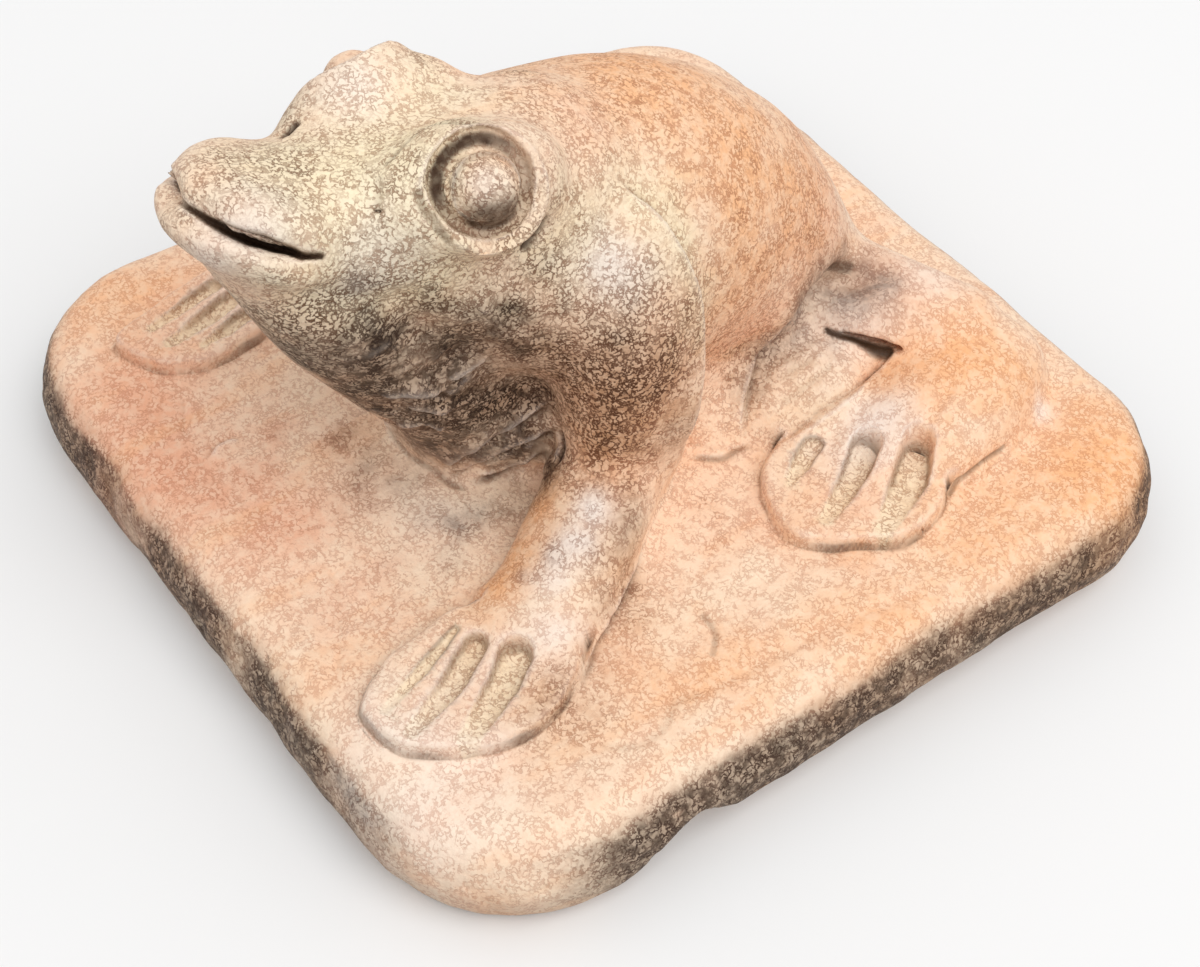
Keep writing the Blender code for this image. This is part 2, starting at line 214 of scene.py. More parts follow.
FAR_FRONT_MARKS = (
    ((-35.6, -26.5, 0.8, 0.9), (-34.6, -31, 0.7, 1.0), (-33.4, -35.8, 0.5, 1.6)),
    ((-32.6, -25.6, 1.1, 0.6), (-31.4, -30.2, 1.0, 0.6), (-30.2, -35.4, 0.6, 1.5)),
    ((-29.4, -25.4, 0.9, 0.7), (-28.6, -29.2, 0.7, 0.9), (-27.8, -32.4, 0.4, 1.6)),
)


def mirrored(rows):
    return [tuple((-row[0], *row[1:])) for row in rows]


def press_foot(points, normals, crease_shade, pressed, outline, marks):
    """Sets a foot pad's top and its stick marks, and notes the painted shade round it and the floors of its
    marks.

    Inside the outline the surface comes up to the pad's height, less a quarter round at its edge. Outside,
    the slab beside the pad comes down to its own level. In a stick mark, the surface comes down to the
    mark's floor, with walls as steep as the grid lets them be."""
    low = np.array(outline).min(axis=0) - 4
    high = np.array(outline).max(axis=0) + 4
    level = (points[:, 2] > PLAQUE_TOP - 3) & (points[:, 2] < PLAQUE_TOP + 9) & (normals[:, 2] > -0.2)
    near = np.flatnonzero(((points[:, :2] > low) & (points[:, :2] < high)).all(axis=1) & level)
    p = points[near]
    rim = 0.25 * lattice_noise(p, 2.2, 5)
    inside = depth_inside(p, closed_curve(outline)) + rim
    rise = p[:, 2] - PLAQUE_TOP
    corner = np.clip(1 - inside / FOOT_EDGE, 0, 1)
    pad = (FOOT_HEIGHT - FOOT_EDGE) * ramp(inside, -0.25, 0.1) + FOOT_EDGE * np.sqrt(1 - corner ** 2)
    pad += 0.12 * lattice_noise(p, 3.0, 6)
    rise = np.where(inside > -0.2, np.maximum(rise, pad), rise)
    beside = ramp(inside, -2.2, -0.3) * (inside < -0.2) * (rise < FOOT_HEIGHT + 0.3)
    rise -= beside * 0.9 * np.clip(rise + 0.15, 0, None)
    for mark in marks:
        mark = np.array(mark)
        gap, along = nearest_on(p[:, :2], mark[:, :2])
        reach = np.linalg.norm(np.diff(mark[:, :2], axis=0), axis=1)
        stations = np.concatenate([[0], np.cumsum(reach)]) / reach.sum()
        half = np.interp(along, stations, mark[:, 2]) * (1 + 0.12 * lattice_noise(p, 1.6, 7))
        floor = np.interp(along, stations, mark[:, 3]) + 0.12 * lattice_noise(p, 1.1, 8)
        wall = np.clip(gap - half, 0, None) * 4.5
        floor = floor + 0.25 * np.clip(gap / half, 0, 1) ** 2 + wall
        rise = np.where(inside > -0.6, np.minimum(rise, np.where(gap < half + 1.3, floor, 99)), rise)
        # Painted shade on the mark's walls, fading out towards its toe end.
        wall = np.exp(-((gap - half - 0.1) / 0.2) ** 2) * (1 - ramp(along, 0.2, 0.9)) * 0.5
        crease_shade[near] = np.maximum(crease_shade[near], wall)
        pressed[near] = np.maximum(pressed[near], 1 - ramp(gap - half, -0.1, 0.3))
    # A painted shadow line lies along the pad's foot, darker in some places than in others.
    seam = np.clip(0.35 + 0.6 * lattice_noise(p, 3, 10), 0.05, 0.7) * (p[:, 2] < PLAQUE_TOP + FOOT_HEIGHT)
    crease_shade[near] = np.maximum(crease_shade[near], seam * np.exp(-((inside + 0.2) / 0.16) ** 2))
    points[near, 2] = PLAQUE_TOP + rise


# The eyes: a ball in a pressed ring. The frame of an eye has its Z out of the ring.
HEAD_ROLL = 7
HEAD_PIVOT = Matrix.Translation((0, 0, PLAQUE_TOP + 42))
HEAD_TURN = HEAD_PIVOT @ Matrix.Rotation(-radians(HEAD_ROLL), 4, "Y") @ HEAD_PIVOT.inverted()
EYE_PLACE = (12.1, -19.1, 45.2)
EYE_LEAN = (0.80, -0.12, 0.58)
EYE_BALL = 3.15
EYE_RIM = 3.75
EYE_GROOVE = 4.15
EYE_RING = 6.3


def eye_frame(side):
    """The frame of the left (1) or right (-1) eye, in millimetres."""
    x, y, z = EYE_PLACE
    lean = Vector((side * EYE_LEAN[0], EYE_LEAN[1], EYE_LEAN[2])).normalized()
    upright = lean.to_track_quat("Z", "Y").to_matrix().to_4x4()
    return HEAD_TURN @ Matrix.Translation((side * x, y, PLAQUE_TOP + z)) @ upright


def press_eye(points, crease_shade, side):
    """Sets the height of the eye over its own plane from the distance r to its axis.

    The ball is a sphere's cap. Round it run a thin inner rim, a groove that is deepest and furthest out
    towards the snout and the crown, and the ring, whose outer edge rolls over."""
    place = np.array(eye_frame(side))
    local = (points - place[:3, 3]) @ place[:3, :3]
    r = np.hypot(local[:, 0], local[:, 1])
    near = np.flatnonzero((r < EYE_RING + 0.1) & (local[:, 2] > -4.2) & (local[:, 2] < 4))
    u, v, w = local[near].T
    r = r[near]
    # From 1 on the snout's and crown's side of the eye to -1 on the other.
    front = np.array(place[:3, :3].T @ (-0.2 * side, -0.35, 1.2))[:2]
    front = front / np.linalg.norm(front)
    front = (u * front[0] + v * front[1]) / np.maximum(r, 0.1)
    uneven = lattice_noise(local[near], 1.7, 21 + side)
    fine = lattice_noise(local[near], 0.8, 27 + side)
    ball = np.sqrt(np.clip(EYE_BALL ** 2 - r ** 2, 0, None)) - 0.8 + 0.1 * uneven + 0.05 * fine
    inner = -0.55 - np.abs(r - EYE_RIM) * 1.6 + 0.3 * uneven + 0.1 * fine - 1.6 * ramp(-front, -0.2, 0.5)
    middle = EYE_GROOVE + 0.6 * front + 0.12 * uneven
    depth = 1.2 + 0.9 * ramp(front, 0, 0.8) + 0.7 * ramp(-front, 0.5, 0.9)
    groove = -depth + 3.0 * np.clip(np.abs(r - middle) - 0.3 - 0.25 * ramp(front, 0, 0.8), 0, None)
    ring = 0.25 * side + 0.3 * uneven + 0.1 * fine - 0.8 * np.clip(r - 5.5, 0, None) ** 2
    ring = ring - 0.5 * ramp(-front, 0.5, 0.9)
    height = np.maximum(np.maximum(ball, inner), np.minimum(groove, ring))
    fade = 1 - ramp(r, EYE_RING - 0.55, EYE_RING + 0.1)
    points[near] += (fade * (height - w))[:, None] * place[:3, 2]
    # Shade is painted in the groove, under the ball, in a line round the ball and on its lower half.
    down = np.array(place[:3, :3].T @ (0.1 * side, -0.1, -1.0))[:2]
    down = (u * down[0] + v * down[1]) / np.maximum(r, 0.1) / np.linalg.norm(down)
    eye_shade = np.exp(-((r - middle) / 0.75) ** 4) * (0.45 + 0.5 * ramp(front, 0.0, 0.7)) * (1 + 0.25 * fine)
    eye_shade = np.maximum(eye_shade, 0.9 * np.exp(-((r - 3.35) / 0.5) ** 2) * ramp(down, 0.35, 0.85))
    eye_shade = np.maximum(eye_shade, 0.45 * np.exp(-((r - 3.2) / 0.25) ** 2))
    eye_shade = np.maximum(eye_shade, 0.8 * ramp(r * down, -0.4, 2.8) * (r < 3.4) * (1 + 0.4 * fine))
    crease_shade[near] = np.maximum(crease_shade[near], eye_shade)


# The mouth is cut with a blade from its left corner round the snout, deepest on the left: the
# places, then the depth and the half width there, and the way the blade points away from the clay.
MOUTH = (
    (8.8, -34.9, 57.9), (8, -36.2, 57.9), (6.5, -37.6, 58.6), (4.5, -39.5, 59.0),
    (2.5, -40.5, 59.1), (0.5, -41.3, 59.3), (-1.2, -41.9, 59.6), (-3.2, -42.4, 60.0),
)
MOUTH_DEPTH = (0.8, 1.8, 2.8, 2.8, 1.5, 1.0, 0.8, 0.3)
MOUTH_HALF = (0.26, 0.32, 0.45, 0.6, 0.45, 0.33, 0.3, 0.3)
BLADE = np.array((0.53, -0.39, 0.755))
# The plainer slit in the solid, which is filled before the mouth is cut.
SLIT = (
    (8.8, -34.9, 57.9), (8, -36.2, 57.9), (6.5, -37.6, 58.6), (4.5, -39.5, 59.2),
    (2.5, -40.5, 59.4), (0.5, -41.3, 59.7), (-3, -42.3, 60.2),
)
# Lines pressed with a blade, a stick or a finger: the places, then depth, half width and how dark the
# painted shade in it is. Depth and half width may change along it.
SCRATCHES = (
    (((14.0, 18.5, 24.5), (12.9, 22.2, 23.6), (12.8, 25.1, 23.9), (13.2, 28.6, 23.8), (15, 32, 23.4)),
     (1.2, 2.8, 3.0, 1.8, 0.4), (1.5, 2.1, 2.2, 1.8, 1.2), 0.0),
    (((13.2, 20.0, 24.6), (13.0, 22.5, 24.5), (12.7, 25.5, 24.2), (12.8, 27.5, 24)),
     (0.3, 0.5, 0.5, 0.2), 0.8, 0.7),
    (((14.1, 22.2, 19.7), (15.8, 23, 19.5), (17.2, 24.8, 18.8), (19.6, 25.6, 19.1), (20.5, 26.8, 18.9)),
     0.15, (0.35, 0.5, 0.7, 1.0, 1.2), 1.0),
    (((16.5, 14, 18.6), (16.5, 17.5, 19.2), (16.0, 21, 19.6)), 0.25, 0.4, 0.1),
    (((18.5, 12.5, 17.2), (18.6, 16, 18.2), (18.2, 20, 18.8)), 0.25, 0.4, 0.1),
    (((30.9, 22.1, 18.1), (29.8, 24.5, 19.1), (29.1, 26.5, 19.6), (28.9, 28.2, 19.9)), 0.35, 0.6, 0.0),
    (((36.4, 21.6, 13.6), (35.7, 23.3, 14), (35.6, 24.8, 14), (35.5, 26.6, 14.2), (35.1, 30.9, 14)),
     0.4, 0.3, 0.5),
    (((8.4, -28.8, 59.7), (8.2, -28.6, 59.9)), 0.8, 0.35, 1.0),
    (((8.4, -28.8, 59.7), (7.5, -28.0, 60.7), (6.0, -26.8, 61.3)), 0.25, 0.4, 0.2),
    (((9.6, -25.4, 61.4), (10.9, -25.2, 60.5), (12.1, -24.8, 58.8), (12.9, -24.1, 56.6)), 0.6, 0.5, 0.45),
    (((13.4, -13.6, 54.5), (12.7, -14.2, 53), (12.6, -16, 51.2)), 0.9, 0.6, 0.9),
    (((5.2, -25.9, 61.5), (4.2, -23.5, 61.9), (3.5, -19.8, 62), (7.2, -17.8, 63.7), (9.6, -15.1, 62.4)),
     0.25, 0.4, 0.3),
    (((12.1, -11.8, 22.9), (12.6, -12, 21.3), (13.3, -12.6, 19.5)), 0.9, 0.35, 1.0),
    (((-9.2, -20.9, 15), (-6.1, -21.4, 14), (-2.3, -22.2, 13.6), (2.5, -21.2, 13.5), (5.6, -19.4, 13.3)),
     0.45, 0.4, 0.35),
    (((8.3, -27.5, 35.3), (8.7, -26, 35), (8.8, -24.4, 33.8), (8.7, -22.8, 32.1)), 0.5, 0.35, 0.9),
    (((-6.3, -30.2, 59.4), (-6.7, -29.3, 59.2), (-7.2, -27.8, 59.5)), 0.8, 0.5, 1.0),
    (((41, -15.3, 13), (41.6, -8.1, 13), (42.3, -1, 13), (43.2, 6.2, 13), (44.7, 11.7, 13)),
     0.22, 0.7, 0.0),
    (((40.5, -27.2, 13), (42.5, -23.8, 13), (42.3, -20.6, 13), (40.3, -18.2, 13), (41, -15.3, 13)),
     0.2, 0.5, 0.1),
    (((33, -9.1, 13), (36, -9.4, 13), (38.3, -11.6, 13)), 0.25, 0.35, 0.3),
    (((5.4, -36.4, 13), (9.3, -37.8, 13), (12.8, -39.6, 13), (15.9, -41.8, 13), (18.9, -44, 13)),
     0.25, 0.35, 0.0),
    (((-24.2, -37.4, 13), (-21.4, -38.7, 13), (-19.3, -40.1, 13)), 0.3, 0.35, 0.0),
)
# Patches roughened with a stick: middle, reach and direction, then the ridges' height and width.
STICK_MARKS = (
    ((7.5, -16, 19), 6.5, (8, 8.5, 10), 0.55, 1.3),
    ((6, -25, 30), 6, (1, 5, -2.5), 0.55, 1.3),
    ((9, -23, 38), 6, (1, 5, 2.5), 0.45, 1.3),
    ((9, -29, 46), 6, (1, 6, 1), 0.3, 1.2),
    ((14, -18, 45), 6, (0.5, 2, -3), 0.3, 1.4),
    ((16, 18, 18.5), 7, (0, 8, 1.5), 0.35, 1.6),
    ((20, -30, 13), 16, (-3, 1, 0), 0.15, 2.4),
    ((42, 0, 13), 22, (0.3, 3, 0), 0.13, 2.4),
    ((8, -44, 13), 14, (3, -1, 0), 0.15, 2.0),
)
# Where one lump laps another: the line, the lap's height over it, how far it reaches, on which side,
# and how dark the painted shade along the line is. The first laps are on the left only, and the others on
# both sides.
LEFT_LAPS = (
    (((10.6, -3.4, 52), (12.8, -1.4, 48.7), (14.5, -0.5, 46.3), (15.9, 0.1, 43.9), (17.4, 0.5, 40),
      (18.2, 0.9, 35.9), (18.4, 0.8, 32.2), (18.9, 0.1, 29.3), (19.5, -0.8, 26.2), (19.5, -1.8, 20.4)),
     1.2, 2.8, (0.1, -1, 0), 0.6),
    (((22.9, -9.3, 13.6), (25, -11.8, 13.3), (27, -14.6, 13.2), (28.5, -17.2, 13.4), (30.2, -20, 13.3),
      (31.7, -22, 13.1), (34, -25.2, 13.2)), 0.7, 1.4, (-0.8, 0.4, 0.6), 0.45),
    (((15.6, 2.9, 13), (16.9, 3.9, 13), (17.8, 5.2, 13), (18, 7.1, 13.3), (18.6, 8.7, 13.7)),
     0.35, 1.2, (-1, 0, 0.5), 0.45),
    (((-14.2, -39.9, 13), (-15.6, -38.1, 13), (-15.6, -36.5, 13), (-15, -35.3, 13)),
     0.5, 1.5, (1, 0, 0), 0.0),
)
LAPS = (
    (((20.5, 27.3, 18.8), (20.8, 25.4, 17.9), (20.7, 23.6, 16.8), (21.5, 19.9, 17.2), (21.6, 16.7, 16.6),
      (21.3, 14, 15.3), (21.3, 10.9, 14.8)), 0.9, 2.2, (1, -0.3, 0), 0.1),
    (((14.0, 19.5, 26.0), (13.7, 16.6, 24.4), (13.2, 15.1, 22.2), (13.4, 13.3, 20.4), (14.8, 11.3, 19),
      (15.9, 9.8, 17.7), (17.6, 8.4, 15.3), (18.1, 8.2, 14)), 0.6, 2.6, (0, -1, 0.2), 0.15),
    (((7.1, -29.6, 35.3), (8.2, -27.9, 35.6), (8.6, -25.9, 34.6), (8.8, -23.8, 33.4)),
     0.9, 1.2, (0, 0, 1), 0.9),
    (((7.2, -27, 31.9), (7.8, -25.1, 30.8), (8, -22.6, 28.6)), 0.7, 1.0, (0, 0, 1), 0.7),
    (((4, -26.5, 26.3), (6.3, -24.9, 27.3), (6.9, -22.4, 25.1)), 0.6, 1.0, (0, 0, 1), 0.5),
    (((2.5, -20.1, 14.5), (6.1, -19.1, 19.2), (7.8, -16.3, 22), (8.6, -13.1, 23.3), (10.4, -11.5, 25.8)),
     0.7, 1.0, (0, -0.3, 1), 0.7),
    (((3.3, -20.1, 13.1), (5.6, -17.6, 16.2), (7.9, -15.3, 19.1), (9.6, -12.6, 20.5), (11.4, -11.8, 23.1)),
     0.7, 1.0, (0, -0.3, 1), 0.8),
    (((5, -18.6, 13), (6, -15.4, 13.5), (8.2, -13, 15.9), (10.2, -12.4, 18.8)), 0.6, 1.0, (0, -0.3, 1), 0.7),
    (((9, -22.8, 34.7), (8.9, -20.9, 34.7), (9.2, -19.2, 35.4), (10.1, -18.5, 36.6)),
     0.9, 1.2, (0, 0, 1), 0.6),
)


def drawn(points, normals, path, margin):
    """A line laid on the clay, for the points near it: their numbers, their distance from the line and
    place along it (0 to 1), the foot of each on the line, and the way out of the clay there.

    The way out at a place on the line is the mean normal round it, weighted by exp(-distance squared)
    and evened along the line."""
    near = within(points, path, margin)
    line = draped(points, path)
    out = []
    for place in line:
        gap = ((points[near] - place) ** 2).sum(axis=1)
        out.append((np.exp(gap.min() - gap)[:, None] * normals[near]).sum(axis=0))
    out = np.array(out) / np.linalg.norm(out, axis=1, keepdims=True)
    for _ in range(3):
        out[1:-1] = (out[:-2] + out[1:-1] + out[2:]) / 3
    gap, along = nearest_on(points[near], line)
    steps = np.linalg.norm(np.diff(line, axis=0), axis=1)
    stations = np.concatenate([[0], np.cumsum(steps)]) / steps.sum()
    foot, out = (np.stack([np.interp(along, stations, column) for column in rows.T], axis=1)
                 for rows in (line, out))
    return near, gap, along, foot, out / np.linalg.norm(out, axis=1, keepdims=True)


def changing(along, sizes):
    """A size along a line, from one number or from a row of numbers at even distances."""
    return np.interp(along, np.linspace(0, 1, np.size(sizes)), np.atleast_1d(sizes))


def scratch(points, normals, crease_shade, path, depth, half, shade_strength):
    """Presses a line in. Across the line the depth is a bell curve, and the line runs out at its ends."""
    near, gap, along, _, out = drawn(points, normals, path, 4)
    depth, half = changing(along, depth), changing(along, half)
    profile = np.exp(-(gap / half) ** 2) * ramp(along, -0.05, 0.12) * (1 - ramp(along, 0.88, 1.05))
    points[near] -= (depth * profile)[:, None] * out
    # Painted shade along the pressed line.
    shade_strength = shade_strength * np.exp(-(gap / (half * 1.15)) ** 4) * ramp(profile, 0.1, 0.4)
    crease_shade[near] = np.maximum(crease_shade[near], shade_strength)


def lap(points, normals, crease_shade, path, height, reach, side, shade_strength):
    """Raises the clay on one side of a line by a bell curve that is highest at the line, and sinks it a
    little on the other, so that the first side's edge laps the second."""
    near, gap, along, foot, out = drawn(points, normals, path, 5 + 2 * reach)
    facing = (points[near] - foot) @ (np.array(side, float) / np.linalg.norm(side))
    ends = ramp(along, -0.05, 0.2) * (1 - ramp(along, 0.8, 1.05))
    raised = height * np.exp(-(gap / reach) ** 2) * ramp(facing, -0.3, 0.3)
    sunk = 0.6 * height * np.exp(-(gap / 0.6) ** 2) * ramp(-facing, -0.15, 0.2)
    points[near] += ((raised - sunk) * ends)[:, None] * out
    # Painted shade along the line, on the sunk side of the lap.
    shade_strength = shade_strength * ends * np.exp(-((gap - 0.15) / 0.45) ** 2) * ramp(-facing, -0.3, 0.05)
    crease_shade[near] = np.maximum(crease_shade[near], shade_strength)


def stick_marks(points, normals, middle, reach, along, height, width, seed):
    """Roughens a patch with long narrow ridges side by side: noise drawn out along one direction, with
    finer noise on it, fading out at the patch's edge."""
    near = np.flatnonzero(np.linalg.norm(points - middle, axis=1) < 2 * reach)
    p, along = points[near], np.array(along, float) / np.linalg.norm(along)
    marks = lattice_noise(p - 0.85 * np.outer(p @ along, along), width, seed)
    marks += 0.5 * lattice_noise(p, 1.2, seed + 1)
    fade = np.exp(-(np.linalg.norm(p - middle, axis=1) / reach) ** 4)
    points[near] += (height * fade * marks)[:, None] * normals[near]


def on_far_side(path):
    """A line on the head, mirrored in the head's own middle plane."""
    flip = HEAD_TURN @ Matrix.Scale(-1, 4, (1, 0, 0)) @ HEAD_TURN.inverted()
    return [tuple(flip @ Vector(place)) for place in path]


def cut_mouth(points, normals, crease_shade, path, blade):
    """Rolls the lips along the line, and then cuts the slit with a blade that comes in along a direction."""
    near, gap, along, _, out = drawn(points, normals, path, 6)
    lips = ramp(along, -0.05, 0.15)
    lips *= 0.2 * np.exp(-(gap / 0.9) ** 2) - 0.3 * np.exp(-((gap - 2.4) / 1.1) ** 2)
    points[near] -= lips[:, None] * out
    # The gap is measured across the blade, on the clay that faces it.
    across, edge = (rows - np.outer(rows @ blade, blade) for rows in (points[near], path))
    gap, along = nearest_on(across, edge)
    depth, half = changing(along, MOUTH_DEPTH), changing(along, MOUTH_HALF)
    half = half * (1 + 0.25 * lattice_noise(points[near], 1.2, 51))
    facing = ramp(normals[near] @ blade, -0.1, 0.15)
    points[near] -= (facing * depth * np.exp(-(gap / half) ** 4))[:, None] * blade
    # The slit is painted dark as shade where the blade went deep.
    dark = facing * ramp(depth, 0.1, 1.0) * np.exp(-(gap / (half * 1.15)) ** 6)
    crease_shade[near] = np.maximum(crease_shade[near], dark)


clay = bmesh.new()
clay.from_mesh(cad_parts["frog_figurine"].data)
bmesh.ops.remove_doubles(clay, verts=clay.verts, dist=1e-6)
# Pellets of clay fill the solid's mouth slit, because the mouth is cut again below, finer.
SNOUT_MIDDLE = Vector((0, -28, 58))
PELLET = 1.25
PELLET_DEPTHS = (1.3, 2.6, 3.9)
for path in (SLIT, on_far_side(SLIT)):
    for place in path:
        inwards = (SNOUT_MIDDLE - Vector(place)).normalized()
        for depth in PELLET_DEPTHS:
            middle = Matrix.Translation((Vector(place) + inwards * depth) * MM)
            bmesh.ops.create_icosphere(clay, subdivisions=2, radius=PELLET * MM, matrix=middle)
lump = bpy.data.meshes.new("frog_clay")
clay.to_mesh(lump)
clay.free()
frog = bpy.data.objects.new("frog_clay", lump)
bpy.context.scene.collection.objects.link(frog)
with_modifier(frog, "REMESH", mode="VOXEL", voxel_size=SKIN_GRID * MM, use_smooth_shade=True)

skin = points_of(frog.data)
edges = edges_of(frog.data)
# Facets go, and forms over 5 mm stay: twice the smoothed points less the points smoothed twice.
once = spread(skin, edges, FACET_PASSES)
skin = 2 * once - spread(once, edges, FACET_PASSES)
# What is left of the slit is smoothed over, and the smoothing dies out away from it.
SNOUT_REACH = 4
SNOUT_PASSES = 60
slit_gap = np.minimum(nearest_on(skin, SLIT)[0], nearest_on(skin, on_far_side(SLIT))[0])
snout = np.flatnonzero(slit_gap < SNOUT_REACH)
snout_number = np.full(len(skin), -1)
snout_number[snout] = np.arange(len(snout))
snout_edges = snout_number[edges]
snout_edges = snout_edges[(snout_edges >= 0).all(axis=1)]
skin[snout] = spread(skin[snout], snout_edges, SNOUT_PASSES, ramp(slit_gap[snout], 1.6, 3.2))
put_back(frog.data, skin)
normals = spread(normals_of(frog.data), edges, 6)
normals /= np.linalg.norm(normals, axis=1, keepdims=True)

# The thumbs leave the clay a little uneven: most on the slab's sides, and not at all underneath.
under = ramp(-skin[:, 2], -1.5, -0.2)
side_face = (1 - ramp(np.abs(normals[:, 2]), 0.3, 0.8)) * (skin[:, 2] < PLAQUE_TOP)
on_slab = skin[:, 2] < PLAQUE_TOP + 0.4
worked = 0.30 * lattice_noise(skin, 11, 1) + 0.16 * lattice_noise(skin, 5, 2)
pits = np.clip(lattice_noise(skin, 1.5, 9) - 0.3, 0, 1)
worked += side_face * (0.25 * lattice_noise(skin, 3.4, 4) - 0.3 * pits)
# The slab goes in by a quarter of a millimetre, so that its bumps keep to its size.
worked -= 0.25 * on_slab
skin = skin + ((1 - under) * worked)[:, None] * normals

crease_shade, pressed = np.zeros(len(skin)), np.zeros(len(skin))
FAR_HIND_MARKS = [mirrored(mark) for mark in HIND_MARKS]
press_foot(skin, normals, crease_shade, pressed, FRONT_FOOT, FRONT_MARKS)
press_foot(skin, normals, crease_shade, pressed, FAR_FRONT_FOOT, FAR_FRONT_MARKS)
press_foot(skin, normals, crease_shade, pressed, HIND_FOOT, HIND_MARKS)
press_foot(skin, normals, crease_shade, pressed, mirrored(HIND_FOOT), FAR_HIND_MARKS)
for side in (1, -1):
    press_eye(skin, crease_shade, side)
    flip = np.array((side, 1, 1))
    for number, (middle, reach, along, height, width) in enumerate(STICK_MARKS):
        seed = 60 + 2 * number
        stick_marks(skin, normals, middle * flip, reach, along * flip, height, width, seed)
for path, height, reach, side, shade_strength in LAPS + LEFT_LAPS:
    lap(skin, normals, crease_shade, path, height, reach, side, shade_strength)
for path, height, reach, side, shade_strength in LAPS:
    lap(skin, normals, crease_shade, mirrored(path), height, reach, (-side[0], side[1], side[2]), shade_strength)
for row in SCRATCHES:
    scratch(skin, normals, crease_shade, *row)
cut_mouth(skin, normals, crease_shade, np.array(MOUTH), BLADE)
cut_mouth(skin, normals, crease_shade, np.array(on_far_side(MOUTH[:6])), BLADE * (-1, 1, 1))
skin[:, 2] = np.maximum(skin[:, 2], 0)
put_back(frog.data, skin)

# The kiln's and the hand's patches on the clay, and painted light and shade, each a place with a reach and a
# strength.
# Smoke has browned the throat, the chest and the arms' inner sides. These rows also paint the shade under the
# head, at the chest's foot on the slab, on the forearm's right side, along the flank's edge and in the hollow
# over the thigh.
SMOKE_AND_SHADE = (
    (9, -31, 43.5, 5, 1.0), (5, -34, 45.5, 4.3, 0.9), (8, -29, 39, 6, 1.0), (7, -23, 36, 8, 1.0),
    (7, -19, 27, 8, 1.0), (4, -22, 20, 7, 1.0), (12, -20, 43, 4.5, 0.7), (8, -15, 19, 5.5, 0.93),
    (0, -22.5, 17, 4, 0.4), (-6, -21, 17, 4, 0.5), (19, -9, 33, 6.5, 0.55), (18, -10, 26, 4, 0.45),
    (9, -30, 44, 4, 0.95), (12, -26, 44, 3.5, 0.6), (5, -39, 61, 3.5, 0.15), (25, -13, 17, 3.2, 0.35),
    (28.5, -17.5, 15.5, 3, 0.28), (31.5, -22, 14.5, 3, 0.22), (34.5, -27, 14.5, 3, 0.25),
    (35, -31, 14.2, 3, 0.22), (23, -11, 18.5, 3.2, 0.45), (18, 16, 18, 5, 0.1), (20, -3, 26, 5, 0.4),
    (-9, -30, 43, 9, 0.95), (-8, -20, 30, 9, 0.9), (-18, -9, 30, 7, 0.7), (14, 20, 25, 3, 0.8),
    (13, 22.5, 24.5, 3.5, 0.95), (13.5, 26, 23.8, 3.3, 0.9), (14.5, 29.5, 23.5, 2.8, 0.6),
    (13.3, 15, 21.5, 2.5, 0.6), (15, 11, 18.5, 2.2, 0.45),
)
# A wash of buff slip lies on the head and along the seam behind the shoulder.
BUFF = (
    (3, -25, 61, 10, 0.9), (9, -30, 53, 6, 0.9), (0, -34, 62, 7, 0.5), (-2, -16, 59, 6, 0.5),
    (13, -1, 50, 4, 0.8), (15.5, 1, 45, 3, 0.8), (13, -10, 50, 6, 0.7), (10, -32, 57, 8, 0.9),
    (20, 17, 17, 6, 0.4), (10, -26, 52, 6, 0.8), (18, 2, 38, 3, 0.6),
)
# The fire has turned the back, the forearm, the thigh and the slab's far end orange.
EMBER = (
    (19, -9, 31, 8, 0.6), (17, -10, 24, 5, 0.6), (26, -14.5, 16, 4.5, 0.4), (35, -29, 14, 4, 0.45),
    (16, -17, 19, 3, 0.9), (18.5, -22, 17, 3, 0.9), (20, -25.5, 15.5, 2.6, 0.85), (31, -21, 15, 3.5, 0.4),
    (37.5, -18, 13, 5, 0.55), (43, 40, 13, 12, 1.0), (42, 22, 13, 12, 0.6), (45, 4, 13, 7, 0.6),
    (40, -10, 13, 5, 0.6), (26, 31, 20, 7, 1.0), (22, 25, 18, 5, 1.0), (20.5, -26, 15, 3.5, 0.9),
    (17, -18, 18, 3, 0.6), (-3, 8, 52, 12, 0.9), (9, 11, 46, 9, 0.75), (-42, -35, 13, 9, 0.6),
    (-20, 30, 14, 16, 0.6), (14, 8, 36, 8, 0.6), (47, -46, 6, 4, 0.8), (8, 22, 38, 8, 0.6),
)
# The clay is a cooler red on the slab before the chest, on the upper arm, the feet and the low back.
BLUSH = (
    (-16, -44, 13, 10, 0.9), (-28, -42, 13, 9, 0.8), (-2, -38, 13, 8, 0.75), (11, -38, 13, 6, 0.4),
    (17, 28, 22, 6, 0.6), (30, -35, 15, 6, 0.25), (32, 10, 15, 6, 0.3), (18, 18, 18, 6, 0.35),
    (25, 22, 18.5, 4, 0.2), (10, 23, 34, 7, 0.7), (17, -10, 22, 4, 0.5), (-38, -30, 13, 8, 0.5),
    (9, 12, 40, 6, 0.4), (5, -4, 56, 5, 0.4), (33, -20, 13, 4, 0.3), (19, -8, 30, 8, 0.6),
    (14, 10, 28, 7, 0.6), (11.8, -17.2, 62.3, 2.6, 0.5), (14.5, 30, 22.5, 4, 0.5),
)
# The clay is grittiest where it was smoothed least: the head, the throat and the upper arms.
GRITTY = (
    (0, -26, 60, 12, 0.45), (0, -38, 60, 7, 0.6), (6, -36, 50, 8, 1.0), (12, -28, 47, 7, 1.0),
    (12.5, -19.5, 60, 6, 0.6), (13, -15, 49, 9, 0.6), (18, -9, 34, 10, 0.95), (17, -10, 26, 6, 0.9),
    (0, -8, 57, 10, 0.2), (14, 8, 36, 10, 0.2), (0, 8, 50, 15, 0.25), (10, 24, 36, 8, 0.25),
    (14, 10, 26, 9, 0.3), (4, -22, 30, 12, 0.8), (-18, -12, 42, 14, 0.6), (-18, 10, 33, 13, 0.4),
    (27, -15.5, 16, 4, 0.4), (34.5, -28, 14.5, 4.5, 0.4), (-18, -9, 26, 9, 0.8),
)
